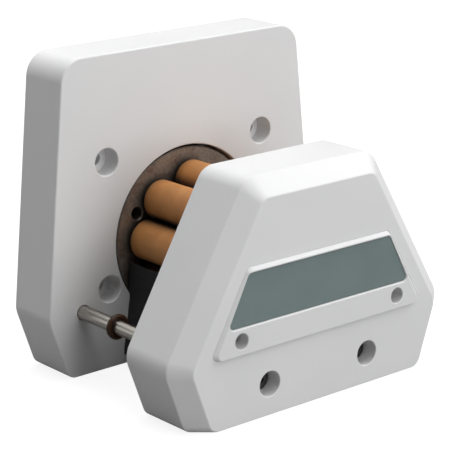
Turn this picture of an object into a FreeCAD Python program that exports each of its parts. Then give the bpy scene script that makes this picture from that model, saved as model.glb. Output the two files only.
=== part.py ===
import FreeCAD, Part
import math
import os

# Peristaltic pump head for four tube cassettes, in millimetres.
# Seen from the front, X points right, Y points away towards the drive, and Z points up.
# The origin is in the middle of the footprint: Z = 0 is the surface that both housings stand on.
# The rotor turns about a line parallel to Y. Depths below are measured outwards from the open gap:
# from the back plate's front face towards +Y ("rear"), and from the front housing's back face
# towards -Y ("front").

# Overall layout
PLATE_T = 27.0
GAP = 55.6
HOUSING_T = 34.5
BADGE_RISE = 1.5
AXIS_Z = 56.0

TOTAL_DEPTH = PLATE_T + GAP + HOUSING_T + BADGE_RISE
PLATE_BACK_Y = TOTAL_DEPTH / 2
PLATE_FRONT_Y = PLATE_BACK_Y - PLATE_T
HOUSING_BACK_Y = PLATE_FRONT_Y - GAP
HOUSING_FRONT_Y = HOUSING_BACK_Y - HOUSING_T
BADGE_FRONT_Y = HOUSING_FRONT_Y - BADGE_RISE
SIDES = {"rear": 1, "front": -1}

# Outlines seen from the front: right-hand corners from the bottom up, as (x, z, corner radius)
PLATE_CORNERS = [(68.9, 0.0, 6.0), (78.6, 28.9, 12.0), (67.1, 145.0, 11.5)]
HOUSING_CORNERS = [(69.1, 0.0, 5.5), (79.8, 29.7, 11.0), (36.3, 104.3, 9.5)]
HOUSING_BEVEL_WIDTH = 8.1
HOUSING_BEVEL_DEPTH = 7.5
# Share of a bevel's width by which the corner radii shrink on the front face
BEVEL_RADIUS_LOSS = 0.5
PLATE_EDGE_R = 0.8
HOUSING_EDGE_R = 0.5

# Rotor seats in both housings
POCKET_R = 40.9
POCKET_DEPTH = 11.7
SEAT_END_DEPTH = 20.9
SHAFT_OPENING_R = 12.5
FRONT_RECESS_DEPTH = 24.5
WAVE_WASHER_T = 0.8
WAVE_WASHER_R = (15.8, 13.2)

# Rotor
DISC_R = 39.7
DISC_FACE_DEPTH = 1.2
DISC_BACK_DEPTH = 11.2
DISC_CHAMFER = 0.5
BOSS_R = 9.7
SHAFT_R = 10.0
DISC_SEAT_R = 8.5
DISC_SEAT_END_DEPTH = 11.6
SHAFT_END_DEPTH = {"rear": 25.0, "front": 23.6}
KEY_WIDTH = 4.0
KEY_LOW = 6.0
KEY_HIGH = 10.4
KEY_DEPTHS = (1.8, 10.6)
SOCKET_R = 4.0
SOCKET_LENGTH = 20.0
SOCKET_SLOT_WIDTH = 2.4
SOCKET_SLOT_LENGTH = 5.0
CIRCLIP_GROOVE_R = 7.1
CIRCLIP_R = 9.6
CIRCLIP_T = 1.0
CIRCLIP_PLAY = 0.05
CIRCLIP_MOUTH = 6.0

# Rollers
ROLLER_COUNT = 8
ROLLER_PHASE_DEG = 87.0
ROLLER_PITCH_R = 24.9
ROLLER_R = 9.2
ROLLER_END_DEPTH = -1.0
ROLLER_EDGE_R = 0.6
ROLLER_BORE_R = 3.7
AXLE_R = 3.0
AXLE_PLAY = 0.05
BUSH_R = 5.0
BUSH_LENGTH = 12.0
WASHER_R = 5.5
WASHER_PLAY = 0.15
DISC_HOLE_COUNT = 2
DISC_HOLE_PHASE_DEG = 154.5
DISC_HOLE_R = 3.0
DISC_HOLE_PITCH_R = 31.0
DISC_HOLE_CHAMFER = 0.4

# Ball bearings, 15 x 32 x 9
BEARING_R = 16.0
BEARING_BORE_R = 7.5
BEARING_FACE_DEPTH = 11.9
BEARING_WIDTH = 9.0
BEARING_EDGE = 0.4
OUTER_LAND_R = 13.6
INNER_LAND_R = 9.9
BALL_PITCH_R = 11.75
BALL_R = 2.38
BALL_PLAY = 0.1
BALL_COUNT = 9
CAGE_R = (13.1, 10.4)
CAGE_WIDTH = 6.4
SEAL_INNER_R = 10.2
SEAL_T = 0.6
SEAL_INSET = 0.3

# Saddle block under the rotor: right-hand corners from the bottom up, as (x, z)
SADDLE_CORNERS = [(35.4, 2.5), (37.9, 5.0), (37.9, 7.5), (34.2, 31.0)]
SADDLE_BED_R = 35.0
SADDLE_EDGE = 0.4

# Guide rods and their rings
ROD_X = 60.0
ROD_Z = 29.8
ROD_R = 3.25
ROD_SEAT_DEPTH = 12.0
RING_R = 5.8
RING_WIDTH = 2.8
RING_FROM_PLATE = 25.2
RING_EDGE_R = 1.0

# Holes and screws
MOUNT_HOLE_X = 45.0
MOUNT_HOLE_Z = (37.6, 96.5)
MOUNT_COUNTERBORE_R = 6.25
MOUNT_COUNTERBORE_DEPTH = 9.5
M6_CLEARANCE_R = 3.3
SADDLE_SCREW_X = 28.5
SADDLE_SCREW_Z = 14.1
SADDLE_THREAD_DEPTH = 15.0
FRONT_COUNTERBORE_R = 5.65
FRONT_COUNTERBORE_DEPTH = 13.0
REAR_COUNTERBORE_R = 5.5
REAR_COUNTERBORE_DEPTH = 7.5
ROD_COUNTERBORE_R = 4.0
ROD_COUNTERBORE_DEPTH = 5.0
ROD_SCREW_CLEARANCE_R = 2.25
ROD_THREAD_DEPTH = 10.0
HOLE_EDGE = 0.35

# Screw sizes: head radius, head height, shank radius, hexagon socket across flats, socket depth
M6_SCREW = {"head_r": 5.0, "head_h": 6.0, "shank_r": 3.0, "socket_af": 5.0, "socket_depth": 3.0}
M4_SCREW = {"head_r": 3.5, "head_h": 4.0, "shank_r": 2.0, "socket_af": 3.0, "socket_depth": 2.0}
M3_SCREW = {"head_r": 2.85, "head_h": 1.7, "shank_r": 1.5, "socket_af": 2.0, "socket_depth": 1.0}
SCREW_HEAD_EDGE = 0.4

# Badge plate and label: right-hand corners from the bottom up, as (x, z, corner radius)
BADGE_CORNERS = [(61.4, 31.4, 2.5), (40.8, 68.4, 3.5)]
BADGE_SEAT_DEPTH = 7.4
BADGE_PLAY = 0.1
BADGE_SCREW_X = 45.3
BADGE_SCREW_Z = 37.5
BADGE_COUNTERBORE_R = 3.55
BADGE_COUNTERBORE_DEPTH = 7.6
BADGE_SCREW_CLEARANCE_R = 1.6
BADGE_SCREW_LENGTH = 5.0
LABEL_CORNERS = [(52.2, 43.45, 1.8), (40.7, 65.9, 1.8)]
LABEL_T = 0.8
LABEL_INSET = 0.7
LABEL_PLAY = 0.2

UP_Y = FreeCAD.Vector(0, 1, 0)


def vec(x, y, z):
    return FreeCAD.Vector(x, y, z)


def outward(side, depth):
    """Y of a depth measured outwards from the gap, on the rear or the front side."""
    face = PLATE_FRONT_Y if side == "rear" else HOUSING_BACK_Y
    return face + SIDES[side] * depth


def cylinder(radius, y_a, y_b, x=0.0, z=AXIS_Z):
    """A cylinder along Y between two Y values."""
    low = min(y_a, y_b)
    return Part.makeCylinder(radius, abs(y_b - y_a), vec(x, low, z), UP_Y)


def tube(outer_r, inner_r, y_a, y_b, x=0.0, z=AXIS_Z):
    return cylinder(outer_r, y_a, y_b, x, z).cut(cylinder(inner_r, y_a, y_b, x, z))


def cone(radius_a, radius_b, y_a, y_b, x=0.0, z=AXIS_Z):
    """A cone frustum along Y, with radius_a at y_a and radius_b at y_b."""
    if y_a > y_b:
        y_a, y_b = y_b, y_a
        radius_a, radius_b = radius_b, radius_a
    return Part.makeCone(radius_a, radius_b, y_b - y_a, vec(x, y_a, z), UP_Y)


def block(x_range, y_range, z_range):
    size = [hi - lo for lo, hi in (x_range, y_range, z_range)]
    return Part.makeBox(*size, vec(x_range[0], y_range[0], z_range[0]))


def hexagon(across_flats, y_a, y_b, x, z):
    """A hexagonal prism along Y."""
    corner_r = across_flats / math.sqrt(3)
    points = []
    for step in range(7):
        angle = math.radians(60 * step)
        points.append(vec(x + corner_r * math.cos(angle), y_a, z + corner_r * math.sin(angle)))
    return Part.Face(Part.makePolygon(points)).extrude(vec(0, y_b - y_a, 0))


def spun(shape, degrees):
    """A copy of the shape turned about the rotor's axis, from +X towards +Z."""
    copy = shape.copy()
    copy.rotate(vec(0, 0, AXIS_Z), vec(0, -1, 0), degrees)
    return copy


def round_array(shape, count, first_deg):
    return [spun(shape, first_deg + step * 360.0 / count) for step in range(count)]


def mirrored_pair(shape):
    return [shape, shape.mirror(vec(0, 0, 0), vec(1, 0, 0))]


def symmetric(right_corners):
    """Right-hand corners from the bottom up, completed by their mirror images into a closed outline."""
    left_corners = [(-corner[0],) + tuple(corner[1:]) for corner in reversed(right_corners)]
    return list(right_corners) + left_corners


def rounded_wire(corners, y):
    """A closed wire at one Y through the corners (x, z, radius), with tangent arcs at the corners."""
    count = len(corners)
    rounded = []
    for index, (x, z, radius) in enumerate(corners):
        corner = vec(x, y, z)
        before = corners[index - 1]
        after = corners[(index + 1) % count]
        to_before = (vec(before[0], y, before[1]) - corner).normalize()
        to_after = (vec(after[0], y, after[1]) - corner).normalize()
        half_angle = to_before.getAngle(to_after) / 2
        reach = radius / math.tan(half_angle)
        inward = (to_before + to_after).normalize()
        centre = corner + inward * (radius / math.sin(half_angle))
        start = corner + to_before * reach
        end = corner + to_after * reach
        rounded.append((start, centre - inward * radius, end))
    edges = []
    for index, (start, middle, end) in enumerate(rounded):
        edges.append(Part.Arc(start, middle, end).toShape())
        edges.append(Part.LineSegment(end, rounded[(index + 1) % count][0]).toShape())
    return Part.Wire(edges)


def slab(corners, y_a, y_b):
    """A plate with rounded corners between two Y values."""
    return Part.Face(rounded_wire(corners, y_a)).extrude(vec(0, y_b - y_a, 0))


def outline_edges(shape, y):
    """The edges of a shape that lie in the plane of one Y."""
    near = 1e-4
    return [edge for edge in shape.Edges
            if abs(edge.BoundBox.YMin - y) < near and abs(edge.BoundBox.YMax - y) < near]


def soften(shape, radius, y_values):
    edges = []
    for y in y_values:
        edges += outline_edges(shape, y)
    return shape.makeFillet(radius, edges)


def inset_corner(before, corner, after, before_inset, after_inset):
    """Where the two sides that meet at a corner cross after each has moved inwards."""
    def moved_line(start, end, inset):
        dx = end[0] - start[0]
        dz = end[1] - start[1]
        length = math.hypot(dx, dz)
        return (start[0] - dz / length * inset, start[1] + dx / length * inset, dx, dz)
    ax, az, adx, adz = moved_line(before, corner, before_inset)
    bx, bz, bdx, bdz = moved_line(corner, after, after_inset)
    share = ((bx - ax) * bdz - (bz - az) * bdx) / (adx * bdz - adz * bdx)
    return ax + adx * share, az + adz * share


def bevelled_corners(corners, bevel):
    """The symmetric outline after a bevel that leaves its bottom side where it is."""
    outline = symmetric(corners)
    count = len(outline)
    result = []
    for index, corner in enumerate(outline):
        before = outline[index - 1]
        after = outline[(index + 1) % count]
        before_inset = 0.0 if index == 0 else bevel
        after_inset = 0.0 if index == count - 1 else bevel
        x, z = inset_corner(before, corner, after, before_inset, after_inset)
        on_bottom = before_inset == 0.0 or after_inset == 0.0
        loss = 0.0 if on_bottom else bevel * BEVEL_RADIUS_LOSS
        result.append((x, z, corner[2] - loss))
    return result


def bevelled_slab(corners, back_y, front_y, bevel_width, bevel_depth):
    """A plate whose front edges are bevelled all round but at the bottom."""
    bevel_y = front_y + bevel_depth
    outline = symmetric(corners)
    front_outline = bevelled_corners(corners, bevel_width)
    body = slab(outline, back_y, bevel_y)
    bevel_wires = [rounded_wire(outline, bevel_y), rounded_wire(front_outline, front_y)]
    return body.fuse(Part.makeLoft(bevel_wires, True, True))


def hole_mouth(radius, side_sign, y, x, z):
    """The small chamfer that breaks the edge of a hole in a face whose outward normal is side_sign * Y."""
    return cone(radius + HOLE_EDGE, radius, y, y - side_sign * HOLE_EDGE, x, z)


def cap_screw(size, length, seat_y, inwards, x, z):
    """A socket-head screw. Its head sits on seat_y and its shank runs towards inwards * Y."""
    head_top = seat_y - inwards * size["head_h"]
    edge_y = head_top + inwards * SCREW_HEAD_EDGE
    head = cylinder(size["head_r"], seat_y, edge_y, x, z)
    rim = cone(size["head_r"] - SCREW_HEAD_EDGE, size["head_r"], head_top, edge_y, x, z)
    shank = cylinder(size["shank_r"], seat_y, seat_y + inwards * length, x, z)
    socket_end = head_top + inwards * size["socket_depth"]
    socket = hexagon(size["socket_af"], head_top, socket_end, x, z)
    return head.fuse([rim, shank]).cut(socket).removeSplitter()


def rotor_seat(side, end_depth):
    """The stepped space for one end of the rotor: disc pocket, bearing seat and shaft opening."""
    bearing_end = SEAT_END_DEPTH + (WAVE_WASHER_T if side == "front" else 0.0)
    pocket = cylinder(POCKET_R, outward(side, 0), outward(side, POCKET_DEPTH))
    seat = cylinder(BEARING_R, outward(side, 0), outward(side, bearing_end))
    opening = cylinder(SHAFT_OPENING_R, outward(side, 0), outward(side, end_depth))
    return pocket.fuse([seat, opening])


def make_back_plate():
    body = slab(symmetric(PLATE_CORNERS), PLATE_FRONT_Y, PLATE_BACK_Y)
    body = soften(body, PLATE_EDGE_R, (PLATE_FRONT_Y, PLATE_BACK_Y))
    cuts = [rotor_seat("rear", PLATE_T)]
    cuts.append(hole_mouth(SHAFT_OPENING_R, 1, PLATE_BACK_Y, 0, AXIS_Z))
    cuts.append(hole_mouth(POCKET_R, -1, PLATE_FRONT_Y, 0, AXIS_Z))
    for z in MOUNT_HOLE_Z:
        deep = outward("rear", MOUNT_COUNTERBORE_DEPTH)
        counterbore = cylinder(MOUNT_COUNTERBORE_R, PLATE_FRONT_Y, deep, MOUNT_HOLE_X, z)
        through = cylinder(M6_CLEARANCE_R, PLATE_FRONT_Y, PLATE_BACK_Y, MOUNT_HOLE_X, z)
        mouth = hole_mouth(MOUNT_COUNTERBORE_R, -1, PLATE_FRONT_Y, MOUNT_HOLE_X, z)
        cuts += mirrored_pair(counterbore.fuse([through, mouth]))
    cuts += mirrored_pair(plate_screw_hole(SADDLE_SCREW_X, SADDLE_SCREW_Z, REAR_COUNTERBORE_R,
                                           REAR_COUNTERBORE_DEPTH, M6_CLEARANCE_R, 0.0))
    cuts += mirrored_pair(plate_screw_hole(ROD_X, ROD_Z, ROD_COUNTERBORE_R,
                                           ROD_COUNTERBORE_DEPTH, ROD_SCREW_CLEARANCE_R, ROD_SEAT_DEPTH))
    rod_seat = cylinder(ROD_R, PLATE_FRONT_Y, outward("rear", ROD_SEAT_DEPTH), ROD_X, ROD_Z)
    cuts += mirrored_pair(rod_seat)
    return body.cut(cuts)


def plate_screw_hole(x, z, counterbore_r, counterbore_depth, clearance_r, from_depth):
    """A screw hole sunk from the back face. Its clearance hole ends at a depth behind the front face."""
    sunk = cylinder(counterbore_r, PLATE_BACK_Y, PLATE_BACK_Y - counterbore_depth, x, z)
    clearance = cylinder(clearance_r, PLATE_BACK_Y, outward("rear", from_depth), x, z)
    mouth = hole_mouth(counterbore_r, 1, PLATE_BACK_Y, x, z)
    return sunk.fuse([clearance, mouth])


def make_front_housing():
    body = bevelled_slab(HOUSING_CORNERS, HOUSING_BACK_Y, HOUSING_FRONT_Y,
                         HOUSING_BEVEL_WIDTH, HOUSING_BEVEL_DEPTH)
    body = soften(body, HOUSING_EDGE_R, (HOUSING_BACK_Y,))
    cuts = [rotor_seat("front", FRONT_RECESS_DEPTH)]
    cuts.append(hole_mouth(POCKET_R, 1, HOUSING_BACK_Y, 0, AXIS_Z))
    deep = HOUSING_FRONT_Y + FRONT_COUNTERBORE_DEPTH
    counterbore = cylinder(FRONT_COUNTERBORE_R, HOUSING_FRONT_Y, deep, SADDLE_SCREW_X, SADDLE_SCREW_Z)
    clearance = cylinder(M6_CLEARANCE_R, HOUSING_FRONT_Y, HOUSING_BACK_Y, SADDLE_SCREW_X, SADDLE_SCREW_Z)
    mouth = hole_mouth(FRONT_COUNTERBORE_R, -1, HOUSING_FRONT_Y, SADDLE_SCREW_X, SADDLE_SCREW_Z)
    cuts += mirrored_pair(counterbore.fuse([clearance, mouth]))
    rod_seat = cylinder(ROD_R, HOUSING_BACK_Y, outward("front", ROD_SEAT_DEPTH), ROD_X, ROD_Z)
    cuts += mirrored_pair(rod_seat)
    badge_floor_y = HOUSING_FRONT_Y + BADGE_SEAT_DEPTH
    cuts.append(slab(grown(BADGE_CORNERS, BADGE_PLAY), HOUSING_FRONT_Y, badge_floor_y))
    screw_end = badge_screw_seat_y() + BADGE_SCREW_LENGTH
    thread = cylinder(M3_SCREW["shank_r"], badge_floor_y, screw_end, BADGE_SCREW_X, BADGE_SCREW_Z)
    cuts += mirrored_pair(thread)
    return body.cut(cuts)


def grown(corners, play):
    """The symmetric outline of right-hand corners, moved outwards by a small play on all sides."""
    outline = symmetric(corners)
    count = len(outline)
    result = []
    for index, corner in enumerate(outline):
        before = outline[index - 1]
        after = outline[(index + 1) % count]
        x, z = inset_corner(before, corner, after, -play, -play)
        result.append((x, z, corner[2] + play))
    return result


def badge_screw_seat_y():
    return BADGE_FRONT_Y + BADGE_COUNTERBORE_DEPTH


def make_badge_plate():
    badge_back_y = HOUSING_FRONT_Y + BADGE_SEAT_DEPTH
    body = bevelled_slab(BADGE_CORNERS, badge_back_y, BADGE_FRONT_Y, BADGE_RISE, BADGE_RISE)
    label_floor_y = BADGE_FRONT_Y + LABEL_INSET + LABEL_T
    cuts = [slab(grown(LABEL_CORNERS, LABEL_PLAY), BADGE_FRONT_Y, label_floor_y)]
    seat_y = badge_screw_seat_y()
    counterbore = cylinder(BADGE_COUNTERBORE_R, BADGE_FRONT_Y, seat_y, BADGE_SCREW_X, BADGE_SCREW_Z)
    clearance = cylinder(BADGE_SCREW_CLEARANCE_R, BADGE_FRONT_Y, badge_back_y, BADGE_SCREW_X, BADGE_SCREW_Z)
    mouth = hole_mouth(BADGE_COUNTERBORE_R, -1, BADGE_FRONT_Y, BADGE_SCREW_X, BADGE_SCREW_Z)
    cuts += mirrored_pair(counterbore.fuse([clearance, mouth]))
    return body.cut(cuts)


def make_label_plate():
    front_y = BADGE_FRONT_Y + LABEL_INSET
    return slab(symmetric(LABEL_CORNERS), front_y, front_y + LABEL_T)


def make_saddle_block():
    """The block that joins both housings below the rotor, with a bed that is concentric with the rotor."""
    top_x = SADDLE_CORNERS[-1][0]
    bed_z = AXIS_Z - math.sqrt(SADDLE_BED_R ** 2 - top_x ** 2)
    outline = symmetric(SADDLE_CORNERS + [(top_x, bed_z)])
    points = [vec(x, HOUSING_BACK_Y, z) for x, z in outline]
    edges = [Part.LineSegment(a, b).toShape() for a, b in zip(points, points[1:])
             if (a - b).Length < 2 * top_x - SADDLE_EDGE]
    edges.append(Part.LineSegment(points[-1], points[0]).toShape())
    lowest = vec(0, HOUSING_BACK_Y, AXIS_Z - SADDLE_BED_R)
    bed_start = vec(top_x, HOUSING_BACK_Y, bed_z)
    bed_end = vec(-top_x, HOUSING_BACK_Y, bed_z)
    edges.append(Part.Arc(bed_start, lowest, bed_end).toShape())
    outline_wire = Part.Wire(Part.__sortEdges__(edges))
    body = Part.Face(outline_wire).extrude(vec(0, GAP, 0))
    ridges = [edge for edge in body.Edges
              if abs(edge.BoundBox.ZMax - bed_z) < SADDLE_EDGE and edge.BoundBox.ZLength < SADDLE_EDGE]
    body = body.makeChamfer(SADDLE_EDGE, ridges)
    threads = []
    for face_y, inwards in ((PLATE_FRONT_Y, -1), (HOUSING_BACK_Y, 1)):
        end_y = face_y + inwards * SADDLE_THREAD_DEPTH
        threads.append(cylinder(M6_SCREW["shank_r"], face_y, end_y, SADDLE_SCREW_X, SADDLE_SCREW_Z))
    return body.cut(mirrored_pair(threads[0]) + mirrored_pair(threads[1]))


def make_guide_rod():
    """The right-hand rod, with the thread for its screw in the rear end."""
    rear_end = outward("rear", ROD_SEAT_DEPTH)
    rod = cylinder(ROD_R, outward("front", ROD_SEAT_DEPTH), rear_end, ROD_X, ROD_Z)
    thread = cylinder(M4_SCREW["shank_r"], rear_end, rear_end - ROD_THREAD_DEPTH, ROD_X, ROD_Z)
    return rod.cut(thread)


def make_rod_ring():
    """The rubber ring near the middle of the right-hand rod."""
    middle_y = PLATE_FRONT_Y - RING_FROM_PLATE
    ends = (middle_y - RING_WIDTH / 2, middle_y + RING_WIDTH / 2)
    body = cylinder(RING_R, ends[0], ends[1], ROD_X, ROD_Z)
    body = soften(body, RING_EDGE_R, ends)
    return body.cut(cylinder(ROD_R, ends[0], ends[1], ROD_X, ROD_Z))


def make_screws():
    """All screws, as groups of separate solids."""
    front_seat = HOUSING_FRONT_Y + FRONT_COUNTERBORE_DEPTH
    front_length = HOUSING_BACK_Y + SADDLE_THREAD_DEPTH - front_seat
    front = cap_screw(M6_SCREW, front_length, front_seat, 1, SADDLE_SCREW_X, SADDLE_SCREW_Z)
    rear_seat = PLATE_BACK_Y - REAR_COUNTERBORE_DEPTH
    rear_length = rear_seat - PLATE_FRONT_Y + SADDLE_THREAD_DEPTH
    rear = cap_screw(M6_SCREW, rear_length, rear_seat, -1, SADDLE_SCREW_X, SADDLE_SCREW_Z)
    rod_seat = PLATE_BACK_Y - ROD_COUNTERBORE_DEPTH
    rod_length = rod_seat - outward("rear", ROD_SEAT_DEPTH - ROD_THREAD_DEPTH)
    rod = cap_screw(M4_SCREW, rod_length, rod_seat, -1, ROD_X, ROD_Z)
    badge = cap_screw(M3_SCREW, BADGE_SCREW_LENGTH, badge_screw_seat_y(), 1, BADGE_SCREW_X, BADGE_SCREW_Z)
    return {
        "front_housing_screws": mirrored_pair(front),
        "saddle_rear_screws": mirrored_pair(rear),
        "rod_screws": mirrored_pair(rod),
        "badge_screws": mirrored_pair(badge),
    }


def axle_holes(radius, y_a, y_b):
    """Cylinders at the places of all roller axles."""
    hole = cylinder(radius, y_a, y_b, ROLLER_PITCH_R, AXIS_Z)
    return round_array(hole, ROLLER_COUNT, ROLLER_PHASE_DEG)


def make_rotor_disc(side):
    """One of the two discs that carry the roller axles, keyed to the shaft."""
    face_y = outward(side, DISC_FACE_DEPTH)
    back_y = outward(side, DISC_BACK_DEPTH)
    boss_y = outward(side, BEARING_FACE_DEPTH)
    inwards = -SIDES[side]
    shoulder_y = face_y - inwards * DISC_CHAMFER
    body = cylinder(DISC_R, shoulder_y, back_y)
    body = body.fuse([cone(DISC_R - DISC_CHAMFER, DISC_R, face_y, shoulder_y),
                      cylinder(BOSS_R, back_y, boss_y)])
    cuts = [cylinder(DISC_SEAT_R, face_y, boss_y)]
    cuts.append(block((-KEY_WIDTH / 2, KEY_WIDTH / 2), sorted((face_y, boss_y)),
                      (AXIS_Z, AXIS_Z + KEY_HIGH)))
    cuts += axle_holes(AXLE_R, face_y, back_y)
    drilled = cylinder(DISC_HOLE_R, face_y, back_y, DISC_HOLE_PITCH_R, AXIS_Z)
    mouth = cone(DISC_HOLE_R + DISC_HOLE_CHAMFER, DISC_HOLE_R, face_y,
                 face_y - inwards * DISC_HOLE_CHAMFER, DISC_HOLE_PITCH_R, AXIS_Z)
    cuts += round_array(drilled.fuse(mouth), DISC_HOLE_COUNT, DISC_HOLE_PHASE_DEG)
    return body.cut(cuts).removeSplitter()


def make_rotor_shaft():
    """The stepped shaft, with keyways, circlip grooves, and the drive socket in its rear end."""
    body = cylinder(SHAFT_R, outward("front", DISC_FACE_DEPTH), outward("rear", DISC_FACE_DEPTH))
    steps = []
    cuts = []
    for side in SIDES:
        seat_end = outward(side, DISC_SEAT_END_DEPTH)
        shaft_end = outward(side, SHAFT_END_DEPTH[side])
        steps.append(cylinder(DISC_SEAT_R, outward(side, DISC_FACE_DEPTH), seat_end))
        steps.append(cylinder(BEARING_BORE_R, seat_end, shaft_end))
        groove = (outward(side, SEAT_END_DEPTH), outward(side, SEAT_END_DEPTH + CIRCLIP_T + 2 * CIRCLIP_PLAY))
        cuts.append(tube(BEARING_R, CIRCLIP_GROOVE_R, groove[0], groove[1]))
        cuts.append(key_block(side))
    rear_end = outward("rear", SHAFT_END_DEPTH["rear"])
    cuts.append(cylinder(SOCKET_R, rear_end, rear_end - SOCKET_LENGTH))
    cuts.append(block((-SHAFT_R, SHAFT_R), (rear_end - SOCKET_SLOT_LENGTH, rear_end),
                      (AXIS_Z - SOCKET_SLOT_WIDTH / 2, AXIS_Z + SOCKET_SLOT_WIDTH / 2)))
    return body.fuse(steps).removeSplitter().cut(cuts)


def key_block(side):
    y_range = sorted(outward(side, depth) for depth in KEY_DEPTHS)
    return block((-KEY_WIDTH / 2, KEY_WIDTH / 2), y_range, (AXIS_Z + KEY_LOW, AXIS_Z + KEY_HIGH))


def make_circlip(side):
    inner = outward(side, SEAT_END_DEPTH + CIRCLIP_PLAY)
    outer = outward(side, SEAT_END_DEPTH + CIRCLIP_PLAY + CIRCLIP_T)
    ring = tube(CIRCLIP_R, CIRCLIP_GROOVE_R, inner, outer)
    mouth = block((-CIRCLIP_MOUTH / 2, CIRCLIP_MOUTH / 2), sorted((inner, outer)),
                  (AXIS_Z - BEARING_R, AXIS_Z))
    return ring.cut(mouth)


def make_roller():
    """A roller at angle zero of the rotor, bored for its two bushes."""
    ends = (outward("front", ROLLER_END_DEPTH), outward("rear", ROLLER_END_DEPTH))
    x = ROLLER_PITCH_R
    body = cylinder(ROLLER_R, ends[0], ends[1], x)
    body = soften(body, ROLLER_EDGE_R, ends)
    cuts = [cylinder(ROLLER_BORE_R, ends[0], ends[1], x)]
    cuts.append(cylinder(BUSH_R, ends[0], ends[0] + BUSH_LENGTH, x))
    cuts.append(cylinder(BUSH_R, ends[1], ends[1] - BUSH_LENGTH, x))
    return body.cut(cuts)


def make_roller_bushes():
    ends = (outward("front", ROLLER_END_DEPTH), outward("rear", ROLLER_END_DEPTH))
    bore_r = AXLE_R + AXLE_PLAY
    return [tube(BUSH_R, bore_r, ends[0], ends[0] + BUSH_LENGTH, ROLLER_PITCH_R),
            tube(BUSH_R, bore_r, ends[1], ends[1] - BUSH_LENGTH, ROLLER_PITCH_R)]


def make_axle():
    front_y, rear_y = outward("front", DISC_BACK_DEPTH), outward("rear", DISC_BACK_DEPTH)
    return cylinder(AXLE_R, front_y, rear_y, ROLLER_PITCH_R)


def make_thrust_washers(side):
    """The washers between one disc and the ends of all rollers."""
    disc_y = outward(side, DISC_FACE_DEPTH)
    roller_y = outward(side, ROLLER_END_DEPTH + WASHER_PLAY)
    washer = tube(WASHER_R, AXLE_R, disc_y, roller_y, ROLLER_PITCH_R)
    return round_array(washer, ROLLER_COUNT, ROLLER_PHASE_DEG)


def make_bearing(side):
    """One deep-groove ball bearing: its rings, its balls with their cage, and its two seals."""
    inner_face = outward(side, BEARING_FACE_DEPTH)
    outer_face = outward(side, BEARING_FACE_DEPTH + BEARING_WIDTH)
    middle = (inner_face + outer_face) / 2
    groove = Part.makeTorus(BALL_PITCH_R, BALL_R + BALL_PLAY, vec(0, middle, AXIS_Z), UP_Y)
    faces = (inner_face, outer_face)
    outer_body = soften(cylinder(BEARING_R, inner_face, outer_face), BEARING_EDGE, faces)
    outer_ring = outer_body.cut(cylinder(OUTER_LAND_R, inner_face, outer_face)).cut(groove)
    inner_ring = tube(INNER_LAND_R, BEARING_BORE_R, inner_face, outer_face).cut(groove)
    ball = Part.makeSphere(BALL_R, vec(BALL_PITCH_R, middle, AXIS_Z))
    pocket_start = vec(BALL_PITCH_R / 2, middle, AXIS_Z)
    pocket = Part.makeCylinder(BALL_R + BALL_PLAY, BALL_PITCH_R, pocket_start, vec(1, 0, 0))
    cage = tube(CAGE_R[0], CAGE_R[1], middle - CAGE_WIDTH / 2, middle + CAGE_WIDTH / 2)
    cage = cage.cut(round_array(pocket, BALL_COUNT, 0.0))
    seals = []
    for face, inwards in ((inner_face, SIDES[side]), (outer_face, -SIDES[side])):
        start = face + inwards * SEAL_INSET
        seals.append(tube(OUTER_LAND_R, SEAL_INNER_R, start, start + inwards * SEAL_T))
    return {
        side + "_bearing_outer_ring": [outer_ring],
        side + "_bearing_inner_ring": [inner_ring],
        side + "_bearing_balls": round_array(ball, BALL_COUNT, 0.0) + [cage],
        side + "_bearing_seals": seals,
    }


def make_wave_washer():
    """The spring washer that presses on the front bearing's outer ring."""
    start = outward("front", SEAT_END_DEPTH)
    return tube(WAVE_WASHER_R[0], WAVE_WASHER_R[1], start, outward("front", SEAT_END_DEPTH + WAVE_WASHER_T))


def make_parts():
    """All nodes by name, each as a list of separate solids."""
    rod = mirrored_pair(make_guide_rod())
    ring = mirrored_pair(make_rod_ring())
    parts = {
        "back_plate": [make_back_plate()],
        "front_housing": [make_front_housing()],
        "badge_plate": [make_badge_plate()],
        "label_plate": [make_label_plate()],
        "saddle_block": [make_saddle_block()],
        "guide_rod_right": [rod[0]],
        "guide_rod_left": [rod[1]],
        "rod_ring_right": [ring[0]],
        "rod_ring_left": [ring[1]],
        "bearing_wave_washer": [make_wave_washer()],
        "rotor_shaft": [make_rotor_shaft()],
        "disc_keys": [key_block(side) for side in SIDES],
        "shaft_circlips": [make_circlip(side) for side in SIDES],
    }
    parts.update(make_screws())
    for side in SIDES:
        parts[side + "_rotor_disc"] = [make_rotor_disc(side)]
        parts[side + "_thrust_washers"] = make_thrust_washers(side)
        parts.update(make_bearing(side))
    for index in range(ROLLER_COUNT):
        angle = ROLLER_PHASE_DEG + index * 360.0 / ROLLER_COUNT
        name = "roller_" + str(index + 1)
        parts[name] = [spun(make_roller(), angle)]
        parts[name + "_bushes"] = [spun(bush, angle) for bush in make_roller_bushes()]
        parts[name + "_axle"] = [spun(make_axle(), angle)]
    return parts


def export(parts):
    os.makedirs("parts", exist_ok=True)
    for name, solids in parts.items():
        shape = solids[0] if len(solids) == 1 else Part.makeCompound(solids)
        shape.exportStep("parts/" + name + ".step")
        print(name, "solids", len(shape.Solids), "valid", shape.isValid(), "volume", round(shape.Volume, 1))


export(make_parts())
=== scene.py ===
import math
from collections import namedtuple

import bmesh
import bpy
from mathutils import Matrix, Vector


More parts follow.
